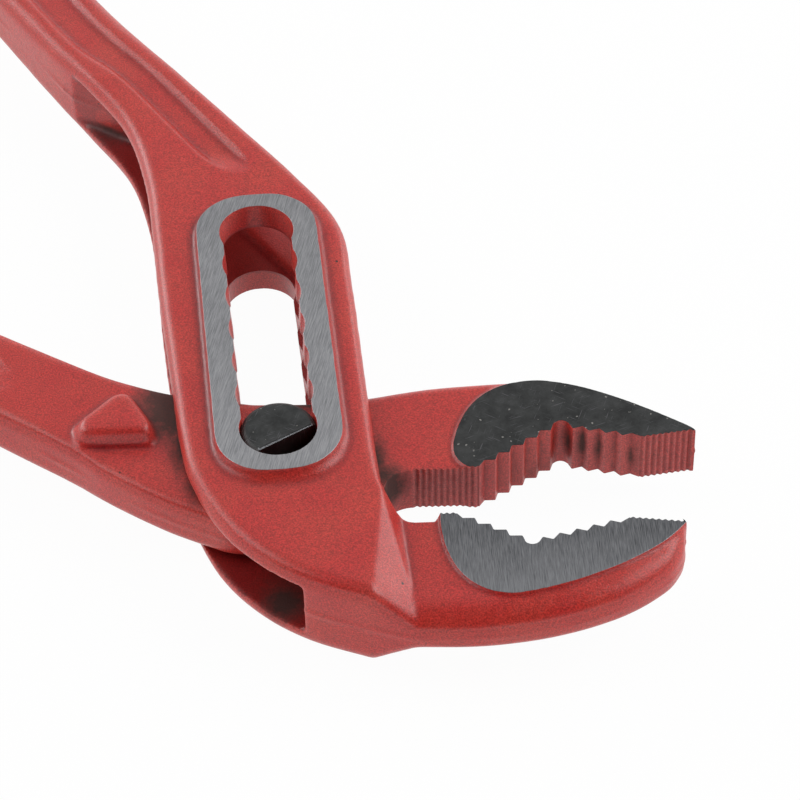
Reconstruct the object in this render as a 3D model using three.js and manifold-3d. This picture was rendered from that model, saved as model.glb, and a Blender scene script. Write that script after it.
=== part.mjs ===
// Water pump pliers with a box joint: the inner arm passes through a window in the outer arm,
// and its pivot pin moves along a grooved slot in both cheeks of that box.
// X runs along the lower jaw, Z along the pivot axis, and the tool lies on its side.
// Everything is drawn about the mid-plane of the forgings and lifted at the end.
import * as THREE from 'three';
import { mergeVertices } from 'three/addons/utils/BufferGeometryUtils.js';
import { ConvexGeometry } from 'three/addons/geometries/ConvexGeometry.js';
import Module from 'manifold-3d';

// Pivot pin, in millimetres, with angles in degrees
const pinDiameter = 9.8;
const pinClearance = 0.3;
const pinRecess = 0.3;
const pinChamfer = 0.35;
const pinFlatOffset = 2;
const pinFlatFacing = -58;

// Slot: its lean from X, the step between grooves, the number of steps and the groove depth
const slotLean = 95;
const slotPitch = 6.4;
const slotSteps = 6;
const grooveDepth = 0.43;

// Ground land round the slot
const landHeight = 1.2;
const landSideWall = 3.2;
const landEndWall = 2.45;
const landCorner = 7;

// Box of the outer arm: two cheeks with a window between them, a rim each side of the land, and a heel.
// The flare is how much wider the left side is at the slot's upper end than at the pivot.
const cheekThickness = 3.1;
const boxGap = 7.5;
const boxRimRight = 4.1;
const boxRimLeft = 4.7;
const boxFlare = 1.7;
const edgeRound = 2;
const heelDrop = 28.8;
const heelEase = 5.3;
const throatDrop = 8.8;

// Walls of the window: along the slot from its upper end or from the pivot, and out from the box's sides
const windowLeft = { rise: 45.6, out: 16.6 };
const windowRight = { rise: 16.5, out: -4 };
const windowThroat = { drop: 12.6, out: 2.2 };
const windowHeel = { drop: 28.5, left: 2.9 };

// Shoulder of the outer arm between its handle and the box: how far each edge lies above the slot's
// upper end, and how far it stands out from the side of the box there
const shoulder = [
  { leftRise: 38.2, leftOut: 7.9, rightRise: 37.6, rightOut: -20.5 },
  { leftRise: 27.3, leftOut: 2.6, rightRise: 25.9, rightOut: -13.4 },
  { leftRise: 15.3, leftOut: 0.3, rightRise: 13.4, rightOut: -5.9 },
  { leftRise: 3.8, leftOut: -0.2, rightRise: 2.4, rightOut: -0.6 },
];

// Jaws: ground lands on both faces, a rounded back and a neck
const jawThickness = 7.9;
const jawLandStep = 0.35;
const jawBackRound = 3.2;
const neckThickness = 7;
const neckLength = 5.1;
const neckSlant = 2;

// Teeth: coarse ones in the hollow of the mouth, fine ones on its nose and behind it
const coarseTooth = 1.05;
const fineTooth = 0.3;
const finePitch = 0.8;
const lowerFlankTeeth = 4;
const lowerRiseTeeth = 5;
const upperFlankTeeth = 5;
const upperFallTeeth = 4;

// Lower jaw: its reach from the pivot, the drop to its tip and to its back, and its mouth
const lowerReach = 52.5;
const lowerTipDrop = 14.9;
const lowerBackDrop = 30.6;
const lowerNoseLength = 7.4;
const lowerNoseRise = 1;
const lowerMouthWidth = 21.7;
const lowerMouthDepth = 3.2;
const lowerFlankRise = 1.5;
const lowerRearLength = 2.4;

// Upper jaw in the pose with the jaws part open
const upperReach = 54.9;
const upperTipRise = 1.2;
const upperCrown = 12.1;
const upperNoseLength = 7.3;
const upperNoseDrop = 1.1;
const upperMouthWidth = 21;
const upperMouthDepth = 2;
const upperFlankDrop = 4.6;
const upperRearLength = 9;

// Inner arm: its tongue through the box and the three-cornered stop on each face
const tongueClearance = 0.15;
const tongueRound = 1.6;
const tongueRise = 9.2;
const tongueDrop = 13;
const nubHeight = 2;
const nubLength = 11.3;
const nubWidth = 9.7;
const nubGap = 3.8;
const nubLow = 0.6;

// Handles: angle from X, reach from the root, width, thickness, bow, edge radius and the face channel.
// The inner handle's root lies a gap to the left of the box, from a low edge to a high one.
const outerAngle = 127;
const outerReach = 132;
const outerRootWidth = 12.2;
const innerAngle = 145.5;
const innerReach = 178;
const innerRootWidth = 14;
const innerRootGap = 17.9;
const innerRootLow = 3;
const innerRootHigh = 19.6;
const handleWidth = 13.4;
const handleThickness = 9.6;
const handleBow = 4;
const handleRound = 2.6;
const ribWidth = 3.2;
const ribRootWidth = 5;
const channelWidth = 6.4;
const channelDepth = 0.9;
const channelLead = 10;

// Sizes that follow from those above
const pinRadius = pinDiameter / 2;
const grooveRadius = pinRadius + pinClearance;
const crestHalf = grooveRadius - grooveDepth;
const slotTravel = slotPitch * slotSteps;
const landHalf = grooveRadius + landSideWall;
const landReach = grooveRadius + landEndWall;
const boxHalf = boxGap / 2 + cheekThickness;
const toolHalf = boxHalf + landHeight;
const pinHalf = toolHalf - pinRecess;
const jawHalf = jawThickness / 2;
const jawBodyHalf = jawHalf - jawLandStep;
const tongueHalf = boxGap / 2 - tongueClearance;
const handleHalf = handleThickness / 2;
const boxLeft = landHalf + boxRimLeft;
const boxRight = landHalf + boxRimRight;
const through = 2 * toolHalf;

const rad = THREE.MathUtils.degToRad;
const lerp = THREE.MathUtils.lerp;
const lean = rad(slotLean - 90);

const wasm = await Module();
wasm.setup();

// A point given along the slot from the pivot and across it to the right
function along(u, v) {
  return new THREE.Vector2(v, u).rotateAround(new THREE.Vector2(), lean);
}

function point(x, y) {
  return new THREE.Vector2(x, y);
}

function solid(geometry) {
  geometry.deleteAttribute('normal');
  geometry.deleteAttribute('uv');
  const merged = mergeVertices(geometry, 1e-5);
  const vertProperties = new Float32Array(merged.attributes.position.array);
  const triVerts = new Uint32Array(merged.index.array);
  return new wasm.Manifold(new wasm.Mesh({ numProp: 3, vertProperties, triVerts }));
}

function prism(shape, low, high, curveSegments = 6) {
  const depth = high - low;
  const geometry = new THREE.ExtrudeGeometry(shape, { depth, bevelEnabled: false, curveSegments });
  geometry.translate(0, 0, low);
  return solid(geometry);
}

function meshOf(body, name, material) {
  const { vertProperties, triVerts } = body.getMesh();
  const geometry = new THREE.BufferGeometry();
  geometry.setAttribute('position', new THREE.BufferAttribute(new Float32Array(vertProperties), 3));
  geometry.setIndex(new THREE.BufferAttribute(new Uint32Array(triVerts), 1));
  geometry.computeVertexNormals();
  const mesh = new THREE.Mesh(geometry, material);
  mesh.name = name;
  return mesh;
}

// A station of an arm: its two edge points, half its thickness and the radius of its edges
function station(a, b, half, round) {
  return { a, b, half, round };
}

// Stations between the given ones, with smooth edges
function refine(stations, perSpan) {
  const edgeA = new THREE.SplineCurve(stations.map((s) => s.a));
  const edgeB = new THREE.SplineCurve(stations.map((s) => s.b));
  const count = (stations.length - 1) * perSpan;
  return Array.from({ length: count + 1 }, (_, i) => {
    const span = Math.min(Math.floor(i / perSpan), stations.length - 2);
    const part = i / perSpan - span;
    const half = lerp(stations[span].half, stations[span + 1].half, part);
    const round = lerp(stations[span].round, stations[span + 1].round, part);
    return station(edgeA.getPoint(i / count), edgeB.getPoint(i / count), half, round);
  });
}

// Closed skin over a row of upright round-cornered sections
function loft(stations, middle = 0, cornerSteps = 4) {
  const positions = [];
  for (const { a, b, half, round } of stations) {
    const width = a.distanceTo(b);
    const radius = Math.min(round, half * 0.98, width * 0.49);
    for (let corner = 0; corner < 4; corner++) {
      const acrossCentre = corner === 0 || corner === 3 ? width - radius : radius;
      const heightCentre = corner < 2 ? half - radius : radius - half;
      for (let step = 0; step <= cornerSteps; step++) {
        const turn = (corner + step / cornerSteps) * Math.PI / 2;
        const across = acrossCentre + radius * Math.cos(turn);
        const place = a.clone().lerp(b, across / width);
        positions.push(place.x, place.y, middle + heightCentre + radius * Math.sin(turn));
      }
    }
  }
  const ring = 4 * (cornerSteps + 1);
  const index = [];
  for (let row = 0; row < stations.length - 1; row++) {
    for (let k = 0; k < ring; k++) {
      const here = row * ring + k;
      const next = row * ring + (k + 1) % ring;
      index.push(here, next, here + ring, next, next + ring, here + ring);
    }
  }
  const last = (stations.length - 1) * ring;
  for (let k = 1; k < ring - 1; k++) {
    index.push(0, k + 1, k);
    index.push(last, last + k, last + k + 1);
  }
  const geometry = new THREE.BufferGeometry();
  geometry.setAttribute('position', new THREE.Float32BufferAttribute(positions, 3));
  geometry.setIndex(index);
  return solid(geometry);
}

// Handle stations from its rounded end back to its root. Side is +1 where the bow is to the left
// of the way out, and -1 where it is to the right.
function handleStations(root, angle, reach, side, rootWidth, rootHalf) {
  const out = point(1, 0).rotateAround(point(0, 0), rad(angle));
  const left = point(-out.y, out.x);
  const endRadius = handleWidth / 2;
  const endThinning = 0.8;
  const plainShare = 0.5;
  const place = (distance, width, half) => {
    const bow = side * handleBow * Math.sin(Math.PI * distance / reach) ** 2;
    const centre = root.clone().addScaledVector(out, distance).addScaledVector(left, bow);
    const a = centre.clone().addScaledVector(left, width / 2);
    const b = centre.clone().addScaledVector(left, -width / 2);
    return station(a, b, half, handleRound);
  };
  const rows = [78, 60, 40, 20].map((turn) => {
    const distance = reach - endRadius * (1 - Math.sin(rad(turn)));
    const width = handleWidth * Math.cos(rad(turn));
    return place(distance, width, handleHalf * lerp(1, endThinning, turn / 90));
  });
  for (const share of [0.92, 0.72, plainShare]) {
    rows.push(place(reach * share, handleWidth, handleHalf));
  }
  for (const share of [0.3, 0.12]) {
    const blend = 1 - share / plainShare;
    const width = lerp(handleWidth, rootWidth, blend);
    rows.push(place(reach * share, width, lerp(handleHalf, rootHalf, blend)));
  }
  return rows;
}

function middleOf(row) {
  return row.a.clone().lerp(row.b, 0.5);
}

// Channel with round ends cut into both faces of a handle, from a given distance off the pivot to short
// of the handle's end, beside a rib that widens towards the root
function channelCut(stations, startDistance) {
  const endDistance = middleOf(stations[0]).length() - handleWidth;
  const endRadius = channelWidth / 2;
  const rows = [];
  for (const { a, b, half } of stations) {
    const distance = middleOf({ a, b }).length();
    const inset = Math.min(distance - startDistance, endDistance - distance);
    if (inset > 0) {
      const across = a.clone().sub(b).normalize();
      const roundness = Math.sqrt(1 - (1 - Math.min(1, inset / endRadius)) ** 2);
      const rib = lerp(ribRootWidth, ribWidth, Math.min(1, (distance - startDistance) / (3 * channelLead)));
      const centre = b.clone().addScaledVector(across, rib + endRadius);
      const left = centre.clone().addScaledVector(across, endRadius * roundness);
      const right = centre.clone().addScaledVector(across, -endRadius * roundness);
      rows.push({ a: left, b: right, half: channelDepth, middle: half });
    }
  }
  const mirrored = rows.map((row) => ({ ...row, middle: -row.middle }));
  return slab(rows).add(slab(mirrored));
}

// Plain four-cornered skin whose middle height may change from row to row
function slab(rows) {
  const positions = [];
  for (const { a, b, half, middle } of rows) {
    positions.push(b.x, b.y, middle + half, a.x, a.y, middle + half);
    positions.push(a.x, a.y, middle - half, b.x, b.y, middle - half);
  }
  const index = [];
  for (let row = 0; row < rows.length - 1; row++) {
    for (let k = 0; k < 4; k++) {
      const here = row * 4 + k;
      const next = row * 4 + (k + 1) % 4;
      index.push(here, next, here + 4, next, next + 4, here + 4);
    }
  }
  const last = (rows.length - 1) * 4;
  index.push(0, 2, 1, 0, 3, 2);
  index.push(last, last + 1, last + 2, last, last + 2, last + 3);
  const geometry = new THREE.BufferGeometry();
  geometry.setAttribute('position', new THREE.Float32BufferAttribute(positions, 3));
  geometry.setIndex(index);
  return solid(geometry);
}

// Saw teeth from one tip to another: after each tip comes its root, set off by the given step
function sawTeeth(path, from, to, count, rootStep) {
  for (let i = 0; i <= count; i++) {
    const tip = from.clone().lerp(to, i / count);
    path.lineTo(tip.x, tip.y);
    if (i < count) {
      path.lineTo(tip.x + rootStep.x, tip.y + rootStep.y);
    }
  }
}

// Fine vee teeth along a line, cut to the given side
function fineTeeth(path, from, to, depth) {
  const count = Math.max(1, Math.round(from.distanceTo(to) / finePitch));
  const way = to.clone().sub(from);
  const side = point(-way.y, way.x).normalize().multiplyScalar(depth);
  for (let i = 0; i < count; i++) {
    const tip = from.clone().addScaledVector(way, i / count);
    const root = from.clone().addScaledVector(way, (i + 0.5) / count).add(side);
    path.lineTo(tip.x, tip.y);
    path.lineTo(root.x, root.y);
  }
  path.lineTo(to.x, to.y);
}

function roundedBar(halfWidth, low, high, radius) {
  const shape = new THREE.Shape();
  shape.absarc(halfWidth - radius, low + radius, radius, -Math.PI / 2, 0, false);
  shape.absarc(halfWidth - radius, high - radius, radius, 0, Math.PI / 2, false);
  shape.absarc(radius - halfWidth, high - radius, radius, Math.PI / 2, Math.PI, false);
  shape.absarc(radius - halfWidth, low + radius, radius, Math.PI, 1.5 * Math.PI, false);
  return shape;
}

// Outline of the slot: a round groove at each stop, which meets its neighbours at a crest
function slotCut() {
  const crestAngle = Math.acos(crestHalf / grooveRadius);
  const meetAngle = Math.asin(Math.min(1, slotPitch / 2 / grooveRadius));
  const grip = Math.min(crestAngle, meetAngle);
  const quarter = Math.PI / 2;
  const shape = new THREE.Shape();
  for (let i = 0; i <= slotSteps; i++) {
    const start = i === 0 ? -quarter : -grip;
    const stop = i === slotSteps ? quarter : grip;
    shape.absarc(0, i * slotPitch, grooveRadius, start, stop, false);
  }
  for (let i = slotSteps; i >= 0; i--) {
    const start = i === slotSteps ? quarter : Math.PI - grip;
    const stop = i === 0 ? 3 * quarter : Math.PI + grip;
    shape.absarc(0, i * slotPitch, grooveRadius, start, stop, false);
  }
  return prism(shape, -through, through, 4).rotate([0, 0, slotLean - 90]);
}

function slotLands() {
  const bar = roundedBar(landHalf, -landReach, slotTravel + landReach, Math.min(landCorner, landHalf));
  return prism(bar, -toolHalf, toolHalf, 5).rotate([0, 0, slotLean - 90]);
}

// Window through the box, open on both sides, with a slanting wall at the handle and at the heel
function windowCut() {
  const handleLeft = along(slotTravel + windowLeft.rise, -boxLeft - windowLeft.out);
  const handleRight = along(slotTravel + windowRight.rise, boxRight + windowRight.out);
  const throat = along(-windowThroat.drop, boxRight + windowThroat.out);
  const heel = along(-windowHeel.drop, -windowHeel.left);
  const farLeft = handleLeft.x - boxLeft;
  const farLow = -heelDrop - boxLeft;
  const farRight = boxRight + lowerReach;
  const shape = new THREE.Shape();
  shape.moveTo(handleLeft.x, handleLeft.y);
  shape.lineTo(farLeft, handleLeft.y);
  shape.lineTo(farLeft, farLow);
  shape.lineTo(heel.x, farLow);
  shape.lineTo(heel.x, heel.y);
  shape.lineTo(throat.x, throat.y);
  shape.lineTo(farRight, throat.y);
  shape.lineTo(farRight, handleRight.y);
  shape.lineTo(handleRight.x, handleRight.y);
  return prism(shape, -boxGap / 2, boxGap / 2);
}

// Mouth of the lower jaw: the throat, back teeth, two toothed flanks and the fine-toothed nose
const lowerTip = point(lowerReach, -lowerTipDrop);
const lowerNose = point(lowerTip.x - lowerNoseLength, lowerTip.y + lowerNoseRise);
const lowerFlank = point(lowerNose.x - lowerMouthWidth, lowerNose.y + lowerFlankRise);
const lowerDip = point(lowerFlank.x + 0.37 * lowerMouthWidth, lowerNose.y - 0.9 * lowerMouthDepth);
const lowerRise = point(lowerFlank.x + 0.49 * lowerMouthWidth, lowerNose.y - lowerMouthDepth);
const lowerRear = point(lowerFlank.x - lowerRearLength, lowerFlank.y);

function lowerMouthCut() {
  const floor = lowerRear.y - coarseTooth * 1.2;
  const above = lowerTip.y + lowerTipDrop;
  const beyond = lowerTip.x + jawThickness;
  const throat = point(boxRight + 0.8, -throatDrop);
  const towardsRear = (share) => lerp(throat.x, lowerRear.x, share);
  const hollow = lowerRise.y - coarseTooth * 0.8;
  const shape = new THREE.Shape();
  shape.moveTo(beyond, above);
  shape.lineTo(throat.x, above);
  shape.lineTo(throat.x, throat.y);
  shape.quadraticCurveTo(towardsRear(0.25), floor, towardsRear(0.56), floor);
  shape.lineTo(towardsRear(0.9), floor);
  fineTeeth(shape, lowerRear, lowerFlank, -fineTooth);
  sawTeeth(shape, lowerFlank, lowerDip, lowerFlankTeeth, point(coarseTooth / 3, -coarseTooth));
  shape.lineTo(lerp(lowerDip.x, lowerRise.x, 0.15), hollow);
  const bottom = point(lerp(lowerDip.x, lowerRise.x, 0.5), hollow - coarseTooth * 0.7);
  shape.quadraticCurveTo(bottom.x, bottom.y, lowerRise.x - 0.5, hollow);
  sawTeeth(shape, lowerRise, lowerNose, lowerRiseTeeth, point(coarseTooth * 1.3, -coarseTooth * 0.42));
  fineTeeth(shape, lowerNose, lowerTip, -fineTooth);
  shape.lineTo(beyond, lowerTip.y);
  return prism(shape, -through, through, 3);
}

// Back of the lower jaw from its neck to its tip
function lowerBackLine() {
  const neck = point(boxRight + neckLength, -lowerBackDrop);
  const tip = point(lowerTip.x, lowerTip.y - jawBackRound * 0.9);
  const belly = point(lerp(neck.x, tip.x, 0.44), -lowerBackDrop - 1.4);
  const chin = point(tip.x - 2, lerp(tip.y, neck.y, 0.68));
  return new THREE.CubicBezierCurve(neck, belly, chin, tip);
}

function lowerJawLand() {
  const low = point(lerp(lowerRear.x, lowerTip.x, 0.29), -lowerBackDrop + jawBackRound + 1);
  const nearTip = point(lowerTip.x - 1.1, lowerTip.y - 1.7);
  const side = lerp(lowerRear.y, low.y, 0.47);
  const shape = new THREE.Shape();
  shape.moveTo(lowerRear.x, lowerRear.y + coarseTooth);
  shape.bezierCurveTo(lowerRear.x, side, low.x - 7, low.y, low.x, low.y);
  shape.bezierCurveTo(low.x + 7, low.y + 0.6, nearTip.x - 3.4, nearTip.y - 3.9, nearTip.x, nearTip.y);
  shape.lineTo(lowerTip.x, lowerTip.y);
  shape.lineTo(lowerTip.x, lowerTip.y + coarseTooth);
  return prism(shape, -jawHalf, jawHalf, 8);
}

// Box stations: the shoulder, the straight sides and the heel, whose lower edge is one curve
function boxStations() {
  const side = (u) => -boxLeft - boxFlare * u / slotTravel;
  const rows = shoulder.map(({ leftRise, leftOut, rightRise, rightOut }) => {
    const left = along(slotTravel + leftRise, side(slotTravel) - leftOut);
    const right = along(slotTravel + rightRise, boxRight + rightOut);
    return station(left, right, boxHalf, edgeRound);
  });
  for (const share of [0.75, 0.32, 0.04]) {
    const u = slotTravel * share;
    rows.push(station(along(u, side(u)), along(u, boxRight), boxHalf, edgeRound));
  }
  const heelTop = along(-grooveRadius, side(-slotTravel / 2));
  const heelEnd = point(boxRight - edgeRound / 3, -heelDrop);
  const corner = point(heelTop.x + heelEase, heelEnd.y + heelEase);
  const heel = new THREE.QuadraticBezierCurve(heelTop, corner, heelEnd);
  const throatTop = along(-grooveRadius / 2, boxRight);
  const throatEnd = point(boxRight + 1, -throatDrop);
  for (const share of [0, 0.25, 0.5, 0.75, 1]) {
    rows.push(station(heel.getPoint(share), throatTop.clone().lerp(throatEnd, share), boxHalf, edgeRound));
  }
  return rows;
}

function outerArm() {
  const box = boxStations();
  const root = middleOf(box[0]);
  const handle = handleStations(root, outerAngle, outerReach, -1, outerRootWidth, boxHalf);
  const back = lowerBackLine();
  const blankTop = lowerFlank.y + 3;
  const jaw = [0, 0.2, 0.4, 0.6, 0.8, 0.92, 1].map((share) => {
    const low = back.getPoint(share);
    const isNeck = share === 0;
    const top = point(isNeck ? low.x - neckSlant : low.x, blankTop);
    return station(low, top, isNeck ? neckThickness / 2 : jawBodyHalf, jawBackRound);
  });
  const handleAndBox = [...handle, ...box];
  const rows = [...refine(handleAndBox, 2), ...refine(jaw, 2)];
  const channel = channelCut(refine(handleAndBox, 6), slotTravel + landReach + channelLead);
  const body = loft(rows).add(lowerJawLand()).subtract(lowerMouthCut()).subtract(channel);
  return body.subtract(windowCut()).add(slotLands().subtract(windowCut())).subtract(slotCut());
}

// Mouth of the upper jaw
const upperTip = point(upperReach, upperTipRise);
const upperNose = point(upperTip.x - upperNoseLength, upperTip.y - upperNoseDrop);
const upperFlank = point(upperNose.x - upperMouthWidth, upperNose.y - upperFlankDrop);
const upperDip = point(upperFlank.x + 0.45 * upperMouthWidth, upperNose.y + 0.9 * upperMouthDepth);
const upperFall = point(upperFlank.x + 0.59 * upperMouthWidth, upperNose.y + upperMouthDepth);
const upperRear = point(upperFlank.x - upperRearLength, upperFlank.y);

function upperMouthCut() {
  const below = upperTip.y - tongueDrop - coarseTooth;
  const beyond = upperTip.x + jawThickness;
  const throat = point(upperRear.x - 3.6, upperRear.y - 1.6);
  const hollow = upperFall.y + coarseTooth;
  const shape = new THREE.Shape();
  shape.moveTo(beyond, below);
  shape.lineTo(beyond, upperTip.y);
  fineTeeth(shape, upperTip, upperNose, -fineTooth);
  sawTeeth(shape, upperNose, upperFall, upperFallTeeth, point(-coarseTooth * 0.76, coarseTooth * 0.85));
  shape.lineTo(upperFall.x - 0.5, hollow);
  shape.quadraticCurveTo(lerp(upperFall.x, upperDip.x, 0.5), hollow + coarseTooth, upperDip.x + 0.4, hollow);
  sawTeeth(shape, upperDip, upperFlank, upperFlankTeeth, point(-coarseTooth * 1.43, 0));
  fineTeeth(shape, upperFlank, upperRear, -fineTooth);
  shape.quadraticCurveTo(throat.x + 1.6, upperRear.y, throat.x, throat.y);
  shape.lineTo(throat.x - 3, below);
  return prism(shape, -through, through, 3);
}

function upperJawLand() {
  const heel = point(upperFlank.x - 3.2, upperFlank.y + 5.8);
  const crown = point(lerp(upperFlank.x, upperTip.x, 0.29), upperCrown - 0.7);
  const nearTip = point(upperTip.x - 0.6, upperTip.y + 1);
  const shape = new THREE.Shape();
  shape.moveTo(upperFlank.x, upperFlank.y - fineTooth);
  shape.bezierCurveTo(heel.x, upperFlank.y + 0.4, heel.x - 0.8, heel.y - 3.2, heel.x, heel.y);
  shape.bezierCurveTo(heel.x + 1.2, heel.y + 5.8, crown.x - 6.8, crown.y, crown.x, crown.y);
  shape.bezierCurveTo(crown.x + 7.2, crown.y - 0.8, nearTip.x - 4.3, nearTip.y + 2.8, nearTip.x, nearTip.y);
  shape.lineTo(upperTip.x, upperTip.y);
  shape.lineTo(upperTip.x, upperTip.y - coarseTooth);
  return prism(shape, -jawHalf, jawHalf, 8);
}

// Three-cornered raised stop on each face of the inner arm, clear of the box's side
function stopNubs() {
  const right = -boxLeft - nubGap;
  const left = right - nubLength;
  const tall = nubLow + nubWidth;
  const foot = [
    point(left, nubLow + 3),
    point(left + 1.2, nubLow + 0.7),
    point(right - 0.5, nubLow),
    point(right, nubLow + 2.6),
    point(right - 4.3, tall),
  ];
  const crown = [
    point(left + nubHeight, nubLow + 3),
    point(right - 0.7 * nubHeight, nubLow + nubHeight),
    point(right - 4.7, tall - 0.85 * nubHeight),
  ];
  const nub = (sign) => {
    const base = foot.map((p) => new THREE.Vector3(p.x, p.y, sign * (tongueHalf - nubHeight / 2)));
    const top = crown.map((p) => new THREE.Vector3(p.x, p.y, sign * (tongueHalf + nubHeight)));
    return solid(new ConvexGeometry([...base, ...top]));
  };
  return nub(1).add(nub(-1));
}

// Inner arm stations: the lower edge comes first in each, and the mouth is cut from the jaw's blank
function armStations(rootLow, rootTop) {
  const tongueFoot = point(-pinRadius, -tongueDrop);
  const tongueTop = point(pinRadius, tongueRise);
  const lowEase = point(tongueFoot.x - 9.6, tongueFoot.y + 2.2);
  const topEase = point(tongueTop.x - 17.6, tongueTop.y - 1.2);
  const lowCurve = new THREE.QuadraticBezierCurve(rootLow, lowEase, tongueFoot);
  const topCurve = new THREE.QuadraticBezierCurve(rootTop, topEase, tongueTop);
  const rows = [station(rootLow, rootTop, jawHalf, tongueRound)];
  for (const share of [0.25, 0.5, 0.75]) {
    rows.push(station(lowCurve.getPoint(share), topCurve.getPoint(share), tongueHalf, tongueRound));
  }
  const blankLow = upperFlank.y - 5.5;
  const tongueEnd = boxRight - 0.5;
  const crown = point(lerp(upperFlank.x, upperTip.x, 0.14), upperCrown);
  const tipTop = point(upperTip.x - 0.5, upperTip.y + 1.4);
  rows.push(station(tongueFoot, point(-pinRadius, tongueRise + 0.2), tongueHalf, tongueRound));
  rows.push(station(point(pinRadius, -tongueDrop + 0.6), tongueTop, tongueHalf, tongueRound));
  rows.push(station(point(tongueEnd, blankLow), point(tongueEnd, tongueRise + 0.8), tongueHalf, tongueRound));
  const jawStart = lerp(tongueEnd, crown.x, 0.43);
  const jawStartTop = point(jawStart, upperCrown - 0.7);
  rows.push(station(point(jawStart, blankLow), jawStartTop, jawBodyHalf, tongueRound));
  const back = new THREE.CubicBezierCurve(
    crown,
    point(crown.x + 7, crown.y),
    point(tipTop.x - 8.4, tipTop.y + 5.9),
    tipTop,
  );
  for (const share of [0, 0.25, 0.5, 0.75, 1]) {
    const top = back.getPoint(share);
    rows.push(station(point(top.x, blankLow), top, jawBodyHalf, jawBackRound / 2));
  }
  return rows;
}

function innerArm() {
  const rootLow = point(-boxLeft - innerRootGap, innerRootLow);
  const rootTop = point(rootLow.x - 0.6, innerRootHigh);
  const root = rootTop.clone().lerp(rootLow, 0.5);
  const handle = handleStations(root, innerAngle, innerReach, 1, innerRootWidth, tongueHalf);
  const arm = armStations(rootLow, rootTop);
  const rows = refine([...handle, ...arm], 2);
  const behindBox = refine([...handle, ...arm.slice(0, 3)], 6);
  const channel = channelCut(behindBox, boxLeft + nubGap + nubLength + channelLead);
  const bore = new THREE.CylinderGeometry(grooveRadius, grooveRadius, through, 40);
  bore.rotateX(Math.PI / 2);
  const body = loft(rows).add(upperJawLand()).subtract(upperMouthCut()).subtract(channel);
  return body.add(stopNubs()).subtract(solid(bore));
}

// Pin: full round in the tongue, with one side cut to a flat where it passes through the cheeks
function pivotPin() {
  const profile = [
    point(0, -pinHalf),
    point(pinRadius - pinChamfer, -pinHalf),
    point(pinRadius, pinChamfer - pinHalf),
    point(pinRadius, pinHalf - pinChamfer),
    point(pinRadius - pinChamfer, pinHalf),
    point(0, pinHalf),
  ];
  const turned = new THREE.LatheGeometry(profile, 40);
  turned.rotateX(Math.PI / 2);
  const reach = pinDiameter;
  const flat = new THREE.BoxGeometry(reach, 2 * reach, reach);
  const shoulder = tongueHalf;
  const top = flat.clone().translate(pinFlatOffset + reach / 2, 0, shoulder + reach / 2);
  const low = flat.clone().translate(pinFlatOffset + reach / 2, 0, -shoulder - reach / 2);
  const cuts = solid(top).add(solid(low)).rotate([0, 0, pinFlatFacing]);
  return solid(turned).subtract(cuts);
}

const redLacquer = new THREE.MeshStandardMaterial({ color: 0xb8403c, roughness: 0.5, metalness: 0.1 });
const blackOxide = new THREE.MeshStandardMaterial({ color: 0x3a3c3b, roughness: 0.55, metalness: 0.8 });

const pliers = new THREE.Group();
pliers.add(meshOf(outerArm(), 'outer_arm', redLacquer));
pliers.add(meshOf(innerArm(), 'inner_arm', redLacquer));
pliers.add(meshOf(pivotPin(), 'pivot_pin', blackOxide));
pliers.position.z = pinHalf;

export default pliers;
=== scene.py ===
import math
import time
from functools import partial

import bmesh
import bpy
import numpy as np
from mathutils import Matrix, Vector, noise
from numpy.linalg import norm


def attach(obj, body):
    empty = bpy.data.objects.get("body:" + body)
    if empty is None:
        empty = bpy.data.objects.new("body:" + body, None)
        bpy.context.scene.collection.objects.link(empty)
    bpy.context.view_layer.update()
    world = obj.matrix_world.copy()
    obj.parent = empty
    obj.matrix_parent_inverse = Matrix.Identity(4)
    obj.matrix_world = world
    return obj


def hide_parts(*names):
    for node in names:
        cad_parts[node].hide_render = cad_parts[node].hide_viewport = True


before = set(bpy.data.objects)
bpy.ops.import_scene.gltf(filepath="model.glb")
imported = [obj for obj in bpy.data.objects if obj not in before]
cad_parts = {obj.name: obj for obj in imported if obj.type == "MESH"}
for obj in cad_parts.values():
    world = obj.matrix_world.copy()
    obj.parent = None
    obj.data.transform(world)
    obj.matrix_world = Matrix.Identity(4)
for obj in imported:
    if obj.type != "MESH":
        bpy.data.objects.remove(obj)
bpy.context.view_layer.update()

# Shapes are drawn in millimetres about the forgings' mid-plane and go to metres at the end
slot = {
    "lean": 5, "pitch": 6.4, "steps": 6, "grooveDepth": 0.43, "crestEase": 0.1, "draft": 0.28,
    "draftLevels": 9, "endSteps": 16, "grooveSteps": 6,
}
land = {
    "height": 1.2, "sideWall": 3.2, "endWall": 2.45, "corner": 7, "cornerSteps": 12, "spare": 0.6,
    "foot": 0.6, "footShift": 1.05, "footAside": 0.25,
    # each row: height over the cheek and how much of the foot is left there
    "footRows": [(-0.3, 1), (0, 1), (0.42, 0.5), (0.95, 0.08)],
}
box = {
    "cheek": 3.1, "gap": 7.5, "rimRight": 4.1, "rimLeft": 4.7, "flare": 1.7, "edge": 2,
    "heelDrop": 28.8, "heelEase": 5.3, "throatDrop": 8.8,
    "windowLeft": (45.6, 16.6), "windowRight": (16.5, -4),
    "windowThroat": (12.6, 2.2), "windowHeel": (28.5, 2.9), "windowBeyond": 50,
    "relief": 0.5, "reliefAt": (-2.1, 46.3), "reliefTurn": 126, "reliefRun": (90, 70),
    # each row: rise and outset of the left edge, then of the right edge
    "shoulder": [
        (38.2, 7.9, 37.6, -20.5), (27.3, 2.6, 25.9, -13.4), (15.3, 0.3, 13.4, -5.9), (3.8, -0.2, 2.4, -0.6),
    ],
}
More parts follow.
